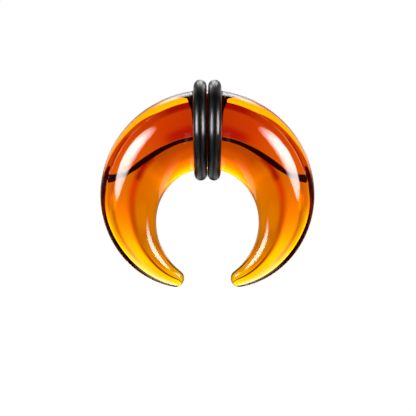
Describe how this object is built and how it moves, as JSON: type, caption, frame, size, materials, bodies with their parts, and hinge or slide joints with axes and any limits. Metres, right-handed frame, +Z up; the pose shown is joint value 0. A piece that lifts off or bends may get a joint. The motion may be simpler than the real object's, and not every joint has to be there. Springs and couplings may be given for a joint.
{
  "type": "septum pincher",
  "caption": "Solid glass crescent, thick in the middle and tapering to round tips, held in a septum piercing by two rubber O-rings.",
  "frame": {"origin": "on the surface that the jewel lies on, below the middle of its whole box", "axes": "+Z up from that surface, +X across the crescent through both arms, +Y from the tips towards the thick middle with the O-rings"},
  "size_m": [0.028, 0.027, 0.0127],
  "materials": {
    "amber_glass": "polished clear amber glass",
    "black_rubber": "satin moulded black rubber"
  },
  "bodies": {
    "root": {"glass_crescent": "amber_glass", "o_ring_left": "black_rubber", "o_ring_right": "black_rubber"}
  },
  "joints": []
}
